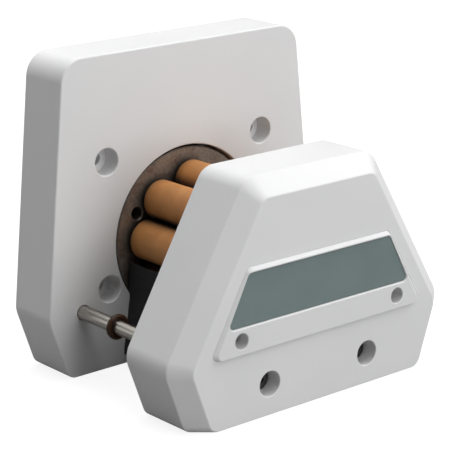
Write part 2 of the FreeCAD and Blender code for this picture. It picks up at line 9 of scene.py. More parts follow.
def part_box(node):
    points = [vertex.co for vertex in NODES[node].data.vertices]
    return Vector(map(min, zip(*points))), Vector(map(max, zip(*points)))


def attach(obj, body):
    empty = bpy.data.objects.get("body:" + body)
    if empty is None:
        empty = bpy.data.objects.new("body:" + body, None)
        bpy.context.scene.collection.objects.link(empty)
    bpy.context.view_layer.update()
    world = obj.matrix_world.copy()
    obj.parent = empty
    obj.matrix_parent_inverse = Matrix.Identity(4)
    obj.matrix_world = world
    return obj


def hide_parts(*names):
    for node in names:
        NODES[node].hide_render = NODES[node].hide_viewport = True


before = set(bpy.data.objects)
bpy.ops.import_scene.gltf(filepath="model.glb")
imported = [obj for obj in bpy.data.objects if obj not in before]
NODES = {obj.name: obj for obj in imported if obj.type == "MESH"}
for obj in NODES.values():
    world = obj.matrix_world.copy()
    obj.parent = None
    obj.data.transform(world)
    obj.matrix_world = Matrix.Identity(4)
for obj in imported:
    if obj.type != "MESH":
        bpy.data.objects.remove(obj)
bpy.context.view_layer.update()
MM = 0.001

# Camera: seen from the front left, a little from above, with a long lens
CAMERA_AZIMUTH_DEG = -39.99
CAMERA_ELEVATION_DEG = 16.48
CAMERA_ROLL_DEG = -0.46
CAMERA_DISTANCE = 0.83965
CAMERA_TARGET = Vector((-0.0024, 0.0023, 0.0659))
CAMERA_LENS_MM = 149.9
CAMERA_CLIP = (0.05, 20.0)
SENSOR_MM = 36.0

# Softboxes: place in metres, power in watts
SOFTBOXES = {
    "top": ((0.0, 0.0, 1.4), 9.2),
    "top_back": ((0.0, 0.6, 0.75), 4.1),
    "top_front": ((0.0, -1.0, 1.2), 4.7),
    "top_right": ((1.0, -0.4, 1.0), 10.2),
    "front": ((0.1, -1.6, 0.35), 11.4),
    "back_left": ((-1.3, 0.9, 0.5), 3.7),
}
SOFTBOX_SIZE = 1.0
SOFTBOX_TARGET = Vector((0.0, 0.0, 0.07))
WORLD_STRENGTH = 0.015

# Stage: a floor under a half dome, and a grey card just below the floor that sets the light from below
FLOOR_HALF = 3.0
FLOOR_SHADE = 0.25
FLOOR_GLOW = 0.85
DOME_SHADE = 0.0
DOME_GLOW = 0.87
CARD_SHADE = 0.25
CARD_Z = -0.001
STAGE_DRIFT = 0.02

# Faces of the white pieces along Y, in millimetres
PLATE_FRONT_Y, PLATE_BACK_Y = (corner.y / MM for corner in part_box("back_plate"))
HOUSING_FRONT_Y, HOUSING_BACK_Y = (corner.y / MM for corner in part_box("front_housing"))
BADGE_FRONT_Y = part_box("badge_plate")[0].y / MM

# Outlines of the white pieces seen from the front, in millimetres: right-hand corners from the
# bottom up, as (x, z, corner radius). The left-hand corners are their mirror images.
PLATE_CORNERS = [(68.9, 0.0, 6.0), (78.6, 28.9, 12.0), (67.1, 145.0, 11.5)]
HOUSING_CORNERS = [(69.1, 0.0, 5.5), (79.8, 29.7, 11.0), (36.3, 104.3, 9.5)]
BADGE_CORNERS = [(61.4, 31.4, 2.5), (40.8, 68.4, 3.5)]
LABEL_CORNERS = [(52.2, 43.45, 1.8), (40.7, 65.9, 1.8)]
SMALLEST_CORNER = 0.05
CORNER_STEPS = 14

# Bevels as (width, depth), and the rounding of edges: back edge, both edges of the bevel, bottom edge
HOUSING_BEVEL = (8.1, 7.5)
HOUSING_ROUNDS = (0.9, 1.2, 0.5)
BADGE_BEVEL = (1.5, 1.5)
BADGE_ROUNDS = (0.1, 0.6, 0.3)
BEVEL_RADIUS_LOSS = 0.5
PLATE_ROUND = 0.8
LABEL_ROUND = 0.15
ROUND_STEPS = 4

# Hollows of the white pieces, in millimetres: radii, depths from their faces, and rounding of their mouths
AXIS_Z = 56.0
POCKET_R = 40.9
POCKET_DEPTH = 11.7
POCKET_MOUTH = 0.6
SEAT_R = 16.0
SEAT_DEPTH = 20.9
FRONT_SEAT_DEPTH = 21.7
SHAFT_OPENING_R = 12.5
SHAFT_OPENING_REAR_DEPTH = 2.5
FRONT_RECESS_DEPTH = 24.5
MOUNT_X = 45.0
MOUNT_Z = (37.6, 96.5)
MOUNT_R = 6.25
MOUNT_DEPTH = 9.5
MOUNT_MOUTH = 0.5
M6_CLEARANCE_R = 3.3
SADDLE_SCREW = (28.5, 14.1)
FRONT_WELL_R = 5.65
FRONT_WELL_DEPTH = 13.0
FRONT_WELL_MOUTH = 0.45
REAR_WELL_R = 5.5
REAR_WELL_DEPTH = 7.5
REAR_MOUTH = 0.4
ROD = (60.0, 29.8)
ROD_R = 3.25
ROD_SEAT_PLAY = 0.22
ROD_SEAT_DEPTH = 12.0
ROD_SEAT_MOUTH = 0.3
ROD_WELL_R = 4.0
ROD_WELL_DEPTH = 5.0
ROD_SCREW_CLEARANCE_R = 2.25
ROD_SCREW_OVERLAP = 0.5
BADGE_SEAT_DEPTH = 7.4
BADGE_PLAY = 0.12
BADGE_SCREW = (45.3, 37.5)
BADGE_WELL_R = 3.55
BADGE_WELL_DEPTH = 7.6
BADGE_WELL_MOUTH = 0.35
BADGE_SCREW_CLEARANCE_R = 1.6
LABEL_PLAY = 0.2
LABEL_DEPTH = 1.5
LABEL_LIP = 0.5
ROUND_SEGMENTS = 96
OVERSHOOT = 1.0
LIFT = 0.004

# Socket-head screws, in millimetres: flats is the hexagon's width, teeth the knurls round the head.
# Shares are of the head's radius, of its edge, or of the hexagon's width.
Screw = namedtuple("Screw", "head_r head_h shank_r flats socket_depth teeth length")
M6 = Screw(head_r=5.0, head_h=6.0, shank_r=3.0, flats=5.0, socket_depth=3.0, teeth=40, length=33.0)
M4 = Screw(head_r=3.5, head_h=4.0, shank_r=2.0, flats=3.0, socket_depth=2.0, teeth=32, length=18.0)
M3 = Screw(head_r=2.85, head_h=1.7, shank_r=1.5, flats=2.0, socket_depth=1.0, teeth=28, length=5.0)
STEPS_PER_TOOTH = 4
KNURL_SHARE = 0.045
HEAD_EDGE_SHARE = 0.1
KNURL_START_SHARE = 1.6
HEAD_BACK_SHARE = 0.5
SOCKET_FLARE = 0.25
SOCKET_FLARE_DEPTH = 0.12
SOCKET_FLOOR_SHARE = 0.96
SOCKET_FLOOR_RISE = 0.1
DRILL_POINT_SHARE = 0.12
DRILL_POINT_R = 0.02
SCREW_TIP = 0.5

# Rubber rings: points round the ring and round its section, and the depth of the parting line
RING_SEGMENTS = 72
SECTION_STEPS = 28
PARTING_DEPTH = 0.06

MERGE_DISTANCE = 1e-7
SHARP_ANGLE = math.radians(38)

# Materials: most noise lies in the span, and noise with these scales makes lines round or along Y.
# A disc's painted highlight, a light rim shown as bare steel, begins at this distance from the axis, in
# metres.
NOISE_SPAN = (0.3, 0.7)
LINES_ROUND_Y = (30.0, 1800.0, 30.0)
ROLLER_LINES_ROUND_Y = (40.0, 2600.0, 40.0)
LINES_ALONG_Y = (900.0, 60.0, 900.0)
DISC_RIM_HIGHLIGHT = (0.0393, 0.0395)

# Metals with turning lines: dark colour, light colour and span of roughness
METALS = {
    "turned_steel": ((0.42, 0.42, 0.42), (0.56, 0.56, 0.55), (0.22, 0.36)),
    "bearing_steel": ((0.60, 0.60, 0.61), (0.70, 0.70, 0.71), (0.10, 0.18)),
    "spring_steel": ((0.10, 0.10, 0.11), (0.17, 0.17, 0.18), (0.3, 0.45)),
    "bush_bronze": ((0.42, 0.27, 0.12), (0.55, 0.37, 0.18), (0.3, 0.45)),
    "black_steel": ((0.045, 0.045, 0.043), (0.16, 0.16, 0.155), (0.2, 0.38)),
    "zinc_steel": ((0.30, 0.30, 0.30), (0.40, 0.40, 0.39), (0.4, 0.55)),
}


# ---------------------------------------------------------------- meshes

def linked(name, data):
    """A new object in the scene for a mesh, light or camera."""
    thing = bpy.data.objects.new(name, data)
    bpy.context.scene.collection.objects.link(thing)
    return thing


def mesh_from(name, bm):
    """A new mesh with what a bmesh holds. The bmesh is freed."""
    mesh = bpy.data.meshes.new(name)
    bm.to_mesh(mesh)
    bm.free()
    return mesh


def mesh_object(name, rings, closed=False):
    """A closed mesh through rings of equal point counts, in millimetres: capped, or joined end to end."""
    bm = bmesh.new()
    rows = [[bm.verts.new(Vector(point) * MM) for point in ring] for ring in rings]
    pairs = list(zip(rows, rows[1:]))
    if closed:
        pairs.append((rows[-1], rows[0]))
    for row_a, row_b in pairs:
        for index in range(len(row_a)):
            after = (index + 1) % len(row_a)
            bm.faces.new((row_a[index], row_a[after], row_b[after], row_b[index]))
    if not closed:
        bm.faces.new(rows[0])
        bm.faces.new(rows[-1])
    bmesh.ops.recalc_face_normals(bm, faces=bm.faces)
    return linked(name, mesh_from(name, bm))


def joined(name, pieces):
    """One object made of several, which are removed."""
    bm = bmesh.new()
    for piece in pieces:
        bm.from_mesh(piece.data)
        bpy.data.objects.remove(piece)
    return linked(name, mesh_from(name, bm))


def circle(radius, y, x, z, segments=ROUND_SEGMENTS):
    turn = 2 * math.pi / segments
    return [(x + radius * math.cos(turn * step), y, z + radius * math.sin(turn * step))
            for step in range(segments)]


def quarter_steps():
    return [math.pi / 2 * step / ROUND_STEPS for step in range(ROUND_STEPS + 1)]


def symmetric(right_corners):
    return right_corners + [(-x, z, radius) for x, z, radius in reversed(right_corners)]


def moved_corner(before, corner, after, before_inset, after_inset):
    """Where the two sides that meet at a corner cross after each has moved inwards."""
    lines = []
    for start, end, inset in ((before, corner, before_inset), (corner, after, after_inset)):
        dx, dz = end[0] - start[0], end[1] - start[1]
        length = math.hypot(dx, dz)
        lines.append((start[0] - dz / length * inset, start[1] + dx / length * inset, dx, dz))
    (ax, az, adx, adz), (bx, bz, bdx, bdz) = lines
    share = ((bx - ax) * bdz - (bz - az) * bdx) / (adx * bdz - adz * bdx)
    return ax + adx * share, az + adz * share


def outline(corners, y, side_inset, bottom_inset, radius_loss=1.0):
    """The ring of an outline at one Y, with its sides moved inwards and its corners rounded."""
    full = symmetric(corners)
    count = len(full)
    ring = []
    for index, corner in enumerate(full):
        before, after = full[index - 1], full[(index + 1) % count]
        before_inset = bottom_inset if index == 0 else side_inset
        after_inset = bottom_inset if index == count - 1 else side_inset
        x, z = moved_corner(before, corner, after, before_inset, after_inset)
        inset = bottom_inset if index in (0, count - 1) else side_inset * radius_loss
        radius = max(corner[2] - inset, SMALLEST_CORNER)
        start_angle = math.atan2(-(corner[0] - before[0]), corner[1] - before[1])
        end_angle = math.atan2(-(after[0] - corner[0]), after[1] - corner[1])
        turn = (end_angle - start_angle) % (2 * math.pi)
        middle = start_angle + turn / 2
        centre_gap = radius / math.cos(turn / 2)
        centre_x, centre_z = x - centre_gap * math.cos(middle), z - centre_gap * math.sin(middle)
        for step in range(CORNER_STEPS + 1):
            angle = start_angle + turn * step / CORNER_STEPS
            ring.append((centre_x + radius * math.cos(angle), y, centre_z + radius * math.sin(angle)))
    return ring


def stacked(name, corners, rings):
    """A solid through one outline at several Y. Rings are (y, how far all sides are moved inwards)."""
    return mesh_object(name, [outline(corners, y, inset, inset) for y, inset in rings])


def rounded_front(front_y, edge_round):
    """Rings of a front edge, from its side to its face."""
    return [(front_y + edge_round * (1 - math.sin(turn)), edge_round * (1 - math.cos(turn)))
            for turn in quarter_steps()]


def rounded_back(back_y, edge_round):
    """Rings of a back edge, from its face to its side."""
    return [(back_y - edge_round * (1 - math.cos(turn)), edge_round * (1 - math.sin(turn)))
            for turn in quarter_steps()]


def bevelled_shell(name, corners, back_y, front_y, bevel, rounds):
    """A solid whose front is bevelled all round but at the bottom, with rounded edges."""
    width, depth = bevel
    back_round, bevel_round, bottom_round = rounds
    slope = math.atan2(width, depth)
    rest = math.pi / 2 - slope
    rows = []
    for share in range(ROUND_STEPS + 1):
        turn = slope * share / ROUND_STEPS
        rows.append((front_y + depth + bevel_round * (math.tan(slope / 2) - math.sin(turn)),
                     bevel_round * (1 - math.cos(turn))))
    for share in range(ROUND_STEPS + 1):
        turn = slope + rest * share / ROUND_STEPS
        rows.append((front_y + bevel_round * (1 - math.sin(turn)),
                     width + bevel_round * (math.tan(rest / 2) - math.cos(turn))))
    line_start, line_end = rows[ROUND_STEPS], rows[ROUND_STEPS + 1]
    for y, _ in rounded_front(front_y, bottom_round):
        if line_end[0] < y < line_start[0]:
            share = (y - line_start[0]) / (line_end[0] - line_start[0])
            rows.append((y, line_start[1] + (line_end[1] - line_start[1]) * share))
    outlines = [outline(corners, y, inset, inset) for y, inset in rounded_back(back_y, back_round)]
    for y, side_inset in sorted(rows, reverse=True):
        rise = max(bottom_round - (y - front_y), 0.0)
        bottom_inset = bottom_round - math.sqrt(max(bottom_round ** 2 - rise ** 2, 0.0))
        outlines.append(outline(corners, y, side_inset, bottom_inset, BEVEL_RADIUS_LOSS))
    return mesh_object(name, outlines)


def bore(name, face_y, outward, steps, mouth_round, x, z):
    """A cutter for a stepped hole sunk from a face, with a rounded mouth. Steps are (radius, depth)."""
    face_y += outward * LIFT
    wide = steps[0][0] + mouth_round
    profile = [(wide, face_y + outward * OVERSHOOT)]
    for turn in quarter_steps():
        profile.append((wide - mouth_round * math.sin(turn),
                        face_y - outward * mouth_round * (1 - math.cos(turn))))
    for index, (radius, depth) in enumerate(steps):
        if index:
            profile.append((radius, face_y - outward * steps[index - 1][1]))
        profile.append((radius, face_y - outward * depth))
    return mesh_object(name, [circle(radius, y, x, z) for radius, y in profile])


def bore_pair(name, face_y, outward, steps, mouth_round, place):
    """The same cutter on the right and on the left."""
    x, z = place
    return [bore(name, face_y, outward, steps, mouth_round, side * x, z) for side in (1, -1)]


def shade(piece):
    """Smooth shading that stops at sharp edges and keeps large faces flat."""
    mesh = piece.data
    bm = bmesh.new()
    bm.from_mesh(mesh)
    bmesh.ops.remove_doubles(bm, verts=bm.verts, dist=MERGE_DISTANCE)
    for face in bm.faces:
        face.smooth = True
    for edge in bm.edges:
        edge.smooth = len(edge.link_faces) == 2 and edge.calc_face_angle(0.0) < SHARP_ANGLE
    bm.to_mesh(mesh)
    bm.free()
    modifier = piece.modifiers.new("weighted_normals", "WEIGHTED_NORMAL")
    modifier.mode = "FACE_AREA"
    modifier.keep_sharp = True


def carved(name, body, cutters):
    """The body with all cutters taken away."""
    for cutter in cutters:
        modifier = body.modifiers.new("cut", "BOOLEAN")
        modifier.operation = "DIFFERENCE"
        modifier.solver = "EXACT"
        modifier.object = cutter
    graph = bpy.context.evaluated_depsgraph_get()
    mesh = bpy.data.meshes.new_from_object(body.evaluated_get(graph))
    for used in [body] + cutters:
        bpy.data.objects.remove(used)
    mesh.name = name
    return linked(name, mesh)


def settle(piece, material, node):
    """Shades a piece, gives it its material and body, and hides the CAD node that it stands for."""
    shade(piece)
    piece.data.materials.clear()
    piece.data.materials.append(material)
    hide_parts(node)
    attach(piece, "pump_frame")


# ---------------------------------------------------------------- white pieces and label

def rotor_hollow(face_y, outward, seat_depth, opening_depth):
    """The cutter for one end of the rotor: disc pocket, bearing seat and shaft opening."""
    steps = [(POCKET_R, POCKET_DEPTH), (SEAT_R, seat_depth), (SHAFT_OPENING_R, opening_depth)]
    return bore("rotor_hollow", face_y, outward, steps, POCKET_MOUTH, 0.0, AXIS_Z)


def rod_seats(face_y, outward):
    """Cutters for the guide rods' ends."""
    steps = [(ROD_R + ROD_SEAT_PLAY, ROD_SEAT_DEPTH)]
    return bore_pair("rod_seat", face_y, outward, steps, ROD_SEAT_MOUTH, ROD)


def make_plate_shell(material):
    thickness = PLATE_BACK_Y - PLATE_FRONT_Y
    m6_step = (M6_CLEARANCE_R, thickness + OVERSHOOT)
    opening_depth = thickness - (SHAFT_OPENING_REAR_DEPTH - OVERSHOOT)
    cutters = [rotor_hollow(PLATE_FRONT_Y, -1, SEAT_DEPTH, opening_depth)]
    opening_steps = [(SHAFT_OPENING_R, SHAFT_OPENING_REAR_DEPTH)]
    cutters.append(bore("shaft_opening", PLATE_BACK_Y, 1, opening_steps, REAR_MOUTH, 0.0, AXIS_Z))
    mount_steps = [(MOUNT_R, MOUNT_DEPTH), m6_step]
    for z in MOUNT_Z:
        cutters += bore_pair("mount", PLATE_FRONT_Y, -1, mount_steps, MOUNT_MOUTH, (MOUNT_X, z))
    saddle_steps = [(REAR_WELL_R, REAR_WELL_DEPTH), m6_step]
    cutters += bore_pair("rear_well", PLATE_BACK_Y, 1, saddle_steps, REAR_MOUTH, SADDLE_SCREW)
    rod_hole_depth = thickness - ROD_SEAT_DEPTH + ROD_SCREW_OVERLAP
    rod_steps = [(ROD_WELL_R, ROD_WELL_DEPTH), (ROD_SCREW_CLEARANCE_R, rod_hole_depth)]
    cutters += bore_pair("rod_well", PLATE_BACK_Y, 1, rod_steps, REAR_MOUTH, ROD)
    cutters += rod_seats(PLATE_FRONT_Y, -1)
    rings = rounded_back(PLATE_BACK_Y, PLATE_ROUND) + rounded_front(PLATE_FRONT_Y, PLATE_ROUND)
    body = stacked("plate_body", PLATE_CORNERS, rings)
    settle(carved("plate_shell", body, cutters), material, "back_plate")


def make_housing_shell(material):
    thickness = HOUSING_BACK_Y - HOUSING_FRONT_Y
    body = bevelled_shell("housing_body", HOUSING_CORNERS, HOUSING_BACK_Y, HOUSING_FRONT_Y,
                          HOUSING_BEVEL, HOUSING_ROUNDS)
    cutters = [rotor_hollow(HOUSING_BACK_Y, 1, FRONT_SEAT_DEPTH, FRONT_RECESS_DEPTH)]
    well_steps = [(FRONT_WELL_R, FRONT_WELL_DEPTH), (M6_CLEARANCE_R, thickness + OVERSHOOT)]
    cutters += bore_pair("front_well", HOUSING_FRONT_Y, -1, well_steps, FRONT_WELL_MOUTH, SADDLE_SCREW)
    cutters += rod_seats(HOUSING_BACK_Y, 1)
    seat_ends = (HOUSING_FRONT_Y - OVERSHOOT, HOUSING_FRONT_Y + BADGE_SEAT_DEPTH)
    cutters.append(stacked("badge_seat", BADGE_CORNERS, [(y, -BADGE_PLAY) for y in seat_ends]))
    settle(carved("housing_shell", body, cutters), material, "front_housing")


def label_seat():
    """The cutter for the label's recess, with a flared mouth."""
    flared = -LABEL_PLAY - LABEL_LIP
    rings = [(BADGE_FRONT_Y - OVERSHOOT, flared), (BADGE_FRONT_Y - LIFT, flared),
             (BADGE_FRONT_Y + LABEL_LIP, -LABEL_PLAY), (BADGE_FRONT_Y + LABEL_DEPTH, -LABEL_PLAY)]
    return stacked("label_seat", LABEL_CORNERS, rings)


def make_badge_shell(material):
    back_y = HOUSING_FRONT_Y + BADGE_SEAT_DEPTH
    thickness = back_y - BADGE_FRONT_Y
    body = bevelled_shell("badge_body", BADGE_CORNERS, back_y, BADGE_FRONT_Y, BADGE_BEVEL, BADGE_ROUNDS)
    well_steps = [(BADGE_WELL_R, BADGE_WELL_DEPTH), (BADGE_SCREW_CLEARANCE_R, thickness + OVERSHOOT)]
    cutters = [label_seat()]
    cutters += bore_pair("badge_well", BADGE_FRONT_Y, -1, well_steps, BADGE_WELL_MOUTH, BADGE_SCREW)
    settle(carved("badge_shell", body, cutters), material, "badge_plate")


def make_label(material):
    """The label, a thin plate whose front edge is slightly rounded."""
    low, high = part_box("label_plate")
    rings = [(high.y / MM, 0.0)] + rounded_front(low.y / MM, LABEL_ROUND)
    settle(stacked("label_face", LABEL_CORNERS, rings), material, "label_plate")


# ---------------------------------------------------------------- screws and rings

def knurled_screw(head_y, inwards, size, x, z):
    """A socket-head screw with a knurled head. Its head's outer face is at head_y."""
    count = size.teeth * STEPS_PER_TOOTH
    angles = [2 * math.pi * step / count for step in range(count)]

    def ring(radii, depth):
        return [(x + radius * math.cos(angle), head_y + inwards * depth, z + radius * math.sin(angle))
                for radius, angle in zip(radii, angles)]

    def round_ring(radius, depth):
        return ring([radius] * count, depth)

    def knurled_ring(depth):
        notch = size.head_r * KNURL_SHARE
        radii = [size.head_r - (notch if step % STEPS_PER_TOOTH < STEPS_PER_TOOTH / 2 else 0.0)
                 for step in range(count)]
        return ring(radii, depth)

    def hexagon(across, depth):
        offs = [(angle + math.pi / 6) % (math.pi / 3) - math.pi / 6 for angle in angles]
        return ring([across / 2 / math.cos(off) for off in offs], depth)

    edge = size.head_r * HEAD_EDGE_SHARE
    tip_depth = size.head_h + size.length
    rings = [round_ring(DRILL_POINT_R, size.socket_depth + size.flats * DRILL_POINT_SHARE),
             hexagon(size.flats * SOCKET_FLOOR_SHARE, size.socket_depth),
             hexagon(size.flats, size.socket_depth - SOCKET_FLOOR_RISE),
             hexagon(size.flats, SOCKET_FLARE_DEPTH),
             hexagon(size.flats + SOCKET_FLARE, 0.0)]
    rings += [round_ring(size.head_r - edge * (1 - math.sin(turn)), edge * (1 - math.cos(turn)))
              for turn in quarter_steps()]
    rings += [knurled_ring(edge * KNURL_START_SHARE),
              knurled_ring(size.head_h - edge),
              round_ring(size.head_r - edge * HEAD_BACK_SHARE, size.head_h),
              round_ring(size.shank_r, size.head_h),
              round_ring(size.shank_r, tip_depth - SCREW_TIP),
              round_ring(size.shank_r - SCREW_TIP, tip_depth)]
    return mesh_object("screw", rings)


def screw_pair(name, seat_y, inwards, size, place, material, node):
    """The screws on the right and on the left, with their heads on seats at one Y."""
    x, z = place
    head_y = seat_y - inwards * size.head_h
    screws = [knurled_screw(head_y, inwards, size, side * x, z) for side in (1, -1)]
    settle(joined(name, screws), material, node)


def make_screws(black, zinc):
    front_y = HOUSING_FRONT_Y + FRONT_WELL_DEPTH
    screw_pair("front_screw_pair", front_y, 1, M6, SADDLE_SCREW, black, "front_housing_screws")
    rear_y = PLATE_BACK_Y - REAR_WELL_DEPTH
    screw_pair("rear_screw_pair", rear_y, -1, M6, SADDLE_SCREW, black, "saddle_rear_screws")
    rod_y = PLATE_BACK_Y - ROD_WELL_DEPTH
    screw_pair("rod_screw_pair", rod_y, -1, M4, ROD, black, "rod_screws")
    badge_y = BADGE_FRONT_Y + BADGE_WELL_DEPTH
    screw_pair("badge_screw_pair", badge_y, 1, M3, BADGE_SCREW, zinc, "badge_screws")


def make_ring(side, sign, material):
    """A rubber ring with a rounded section and a fine parting line round its outside."""
    node = "rod_ring_" + side
    low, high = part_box(node)
    middle_y = (low.y + high.y) / 2 / MM
    section_half = (high.y - low.y) / 2 / MM
    section_r = ((high.z - low.z) / 2 / MM - ROD_R) / 2
    rings = []
    for step in range(SECTION_STEPS):
        turn = 2 * math.pi * step / SECTION_STEPS
        parting = PARTING_DEPTH if step == 0 else 0.0
        radius = ROD_R + section_r + section_r * math.cos(turn) - parting
        y = middle_y + section_half * math.sin(turn)
        rings.append(circle(radius, y, sign * ROD[0], ROD[1], RING_SEGMENTS))
    settle(mesh_object("ring_" + side, rings, closed=True), material, node)


# ---------------------------------------------------------------- materials

class Surface:
    """A new material, with the node calls that the materials share."""

    def __init__(self, name):
        self.material = bpy.data.materials.new(name)
        self.material.use_nodes = True
        self.nodes = self.material.node_tree.nodes
        self.links = self.material.node_tree.links
        self.shader = self.nodes["Principled BSDF"]
        self.coords = self.nodes.new("ShaderNodeTexCoord").outputs["Object"]

    def noise(self, scale, detail=3.0, roughness=0.5):
        """Noise with one scale, or with one scale for each axis."""
        node = self.nodes.new("ShaderNodeTexNoise")
        node.inputs["Detail"].default_value = detail
        node.inputs["Roughness"].default_value = roughness
        coords = self.coords
        if isinstance(scale, tuple):
            mapping = self.nodes.new("ShaderNodeMapping")
            mapping.inputs["Scale"].default_value = scale
            self.links.new(coords, mapping.inputs["Vector"])
            coords, scale = mapping.outputs["Vector"], 1.0
        node.inputs["Scale"].default_value = scale
        self.links.new(coords, node.inputs["Vector"])
        return node.outputs["Fac"]

    def remap(self, value, span, target=(0.0, 1.0)):
        """The value taken from one span to another, and held at its ends."""
        node = self.nodes.new("ShaderNodeMapRange")
        node.inputs["From Min"].default_value, node.inputs["From Max"].default_value = span
        node.inputs["To Min"].default_value, node.inputs["To Max"].default_value = target
        self.links.new(value, node.inputs["Value"])
        return node.outputs["Result"]

    def mixed(self, factor, color_a, color_b):
        """A colour between two colours or sockets."""
        node = self.nodes.new("ShaderNodeMix")
        node.data_type = "RGBA"
        self.links.new(factor, node.inputs["Factor"])
        for socket, color in ((node.inputs[6], color_a), (node.inputs[7], color_b)):
            if isinstance(color, tuple):
                socket.default_value = (*color, 1.0)
            else:
                self.links.new(color, socket)
        return node.outputs[2]

    def occlusion_shade(self, reach, span):
        """A mask for painted shade: from 0 deep between pieces to 1 on open surfaces."""
        node = self.nodes.new("ShaderNodeAmbientOcclusion")
        node.samples = 8
        node.inputs["Distance"].default_value = reach
        return self.remap(node.outputs["AO"], span)

    def axis_distance(self):
        """The distance from the rotor's axis, in metres."""
        across = self.nodes.new("ShaderNodeVectorMath")
        across.operation = "MULTIPLY_ADD"
        across.inputs[1].default_value = (1.0, 0.0, 1.0)
        across.inputs[2].default_value = (0.0, 0.0, -AXIS_Z * MM)
        self.links.new(self.coords, across.inputs[0])
        length = self.nodes.new("ShaderNodeVectorMath")
        length.operation = "LENGTH"
        self.links.new(across.outputs["Vector"], length.inputs[0])
        return length.outputs["Value"]

    def fix(self, socket, value):
        """Sets a value that is the same all over the surface."""
        self.shader.inputs[socket].default_value = value

    def dress(self, tint, gloss, roughness, relief, strength, depth_mm):
        """Links the colour, a roughness that follows the gloss noise, and a fine bump. Gives the material."""
        self.links.new(tint, self.shader.inputs["Base Color"])
        self.links.new(self.remap(gloss, NOISE_SPAN, roughness), self.shader.inputs["Roughness"])
        bump = self.nodes.new("ShaderNodeBump")
        bump.inputs["Strength"].default_value = strength
        bump.inputs["Distance"].default_value = depth_mm * MM
        self.links.new(relief, bump.inputs["Height"])
        self.links.new(bump.outputs["Normal"], self.shader.inputs["Normal"])
        return self.material


def make_white_plastic():
    """Moulded plastic with a fine grain, and a tone that drifts a little."""
    surface = Surface("white_plastic")
    drift = surface.remap(surface.noise(18.0, 2.0), NOISE_SPAN)
    grain = surface.noise(1700.0, 2.0)
    surface.fix("IOR", 1.46)
    tint = surface.mixed(drift, (0.80, 0.80, 0.80), (0.77, 0.772, 0.778))
    return surface.dress(tint, grain, (0.40, 0.52), grain, 0.25, 0.02)


def make_label_film():
    """Printed film in plain grey-green."""
    surface = Surface("label_grey_green")
    cloud = surface.remap(surface.noise(60.0), NOISE_SPAN)
    grain = surface.noise(2600.0, 1.0)
    tint = surface.mixed(cloud, (0.163, 0.216, 0.212), (0.18, 0.235, 0.229))
    return surface.dress(tint, grain, (0.42, 0.55), grain, 0.2, 0.01)


def make_black_plastic():
    """Machined black plastic with lines along Y."""
    surface = Surface("black_plastic")
    lines = surface.noise(LINES_ALONG_Y)
    tint = surface.mixed(lines, (0.008, 0.008, 0.009), (0.016, 0.016, 0.017))
    return surface.dress(tint, lines, (0.42, 0.6), lines, 0.3, 0.03)


def make_metal(name):
    """One of the metals with turning lines."""
    dark, light, roughness = METALS[name]
    surface = Surface(name)
    lines = surface.noise(LINES_ROUND_Y, 4.0)
    surface.fix("Metallic", 1.0)
    return surface.dress(surface.mixed(lines, dark, light), lines, roughness, lines, 0.15, 0.02)


def make_rod_steel():
    """Steel ground round the rods, so that reflections stretch along them."""
    surface = Surface("rod_steel")
    streaks = surface.noise(LINES_ALONG_Y, 4.0, 0.6)
    surface.fix("Metallic", 1.0)
    surface.fix("Anisotropic", 0.85)
    surface.fix("Anisotropic Rotation", 0.25)
    grain = surface.nodes.new("ShaderNodeTangent")
    grain.direction_type = "RADIAL"
    grain.axis = "Y"
    surface.links.new(grain.outputs["Tangent"], surface.shader.inputs["Tangent"])
    tint = surface.mixed(surface.remap(streaks, NOISE_SPAN), (0.38, 0.355, 0.32), (0.60, 0.575, 0.53))
    return surface.dress(tint, streaks, (0.26, 0.36), streaks, 0.1, 0.02)


def make_disc_steel():
    """Ground steel, stained brown, with painted shade round the rollers and a painted highlight on its rim,
    shown as bare steel.
    """
    surface = Surface("disc_steel")
    blotches = surface.noise(150.0, 5.0, 0.6)
    stains = surface.noise(620.0, 5.0, 0.7)
    surface.fix("Metallic", 0.6)
    base = surface.mixed(surface.remap(blotches, (0.38, 0.62)), (0.21, 0.145, 0.12), (0.31, 0.265, 0.225))
    tint = surface.mixed(surface.remap(stains, (0.40, 0.75)), base, (0.42, 0.36, 0.30))
    # Painted highlight: a light rim, shown as bare steel, stands in for light catching the rim's chamfer.
    tint = surface.mixed(surface.remap(surface.axis_distance(), DISC_RIM_HIGHLIGHT), tint, (0.75, 0.70, 0.62))
    # Painted shade: darker where the disc lies close to the rollers and other pieces.
    tint = surface.mixed(surface.occlusion_shade(0.006, (0.42, 0.88)), (0.06, 0.05, 0.042), tint)
    return surface.dress(tint, stains, (0.36, 0.55), stains, 0.25, 0.04)


def make_roller_plastic():
    """Tan plastic with turning marks round the rollers, and painted shade where rollers nearly touch."""
    surface = Surface("roller_plastic")
    marks = surface.noise(ROLLER_LINES_ROUND_Y, 2.0)
    dirt = surface.noise(110.0, 4.0, 0.6)
    base = surface.mixed(surface.remap(dirt, (0.35, 0.75)), (0.57, 0.25, 0.073), (0.46, 0.192, 0.057))
    # Painted shade: dark where rollers nearly touch each other and nearby pieces.
    tint = surface.mixed(surface.occlusion_shade(0.008, (0.4, 0.94)), (0.03, 0.02, 0.014), base)
    return surface.dress(tint, dirt, (0.46, 0.6), marks, 0.25, 0.02)


def make_rubber(name, dark, light):
    """Rubber with a cloudy bloom and a fine rough skin."""
    surface = Surface(name)
    bloom = surface.noise(300.0)
    surface.fix("Specular IOR Level", 0.3)
    tint = surface.mixed(bloom, dark, light)
    return surface.dress(tint, bloom, (0.38, 0.55), surface.noise(1500.0, 2.0), 0.2, 0.03)


def nodes_like(*words):
    return [name for name in NODES if any(word in name for word in words)]


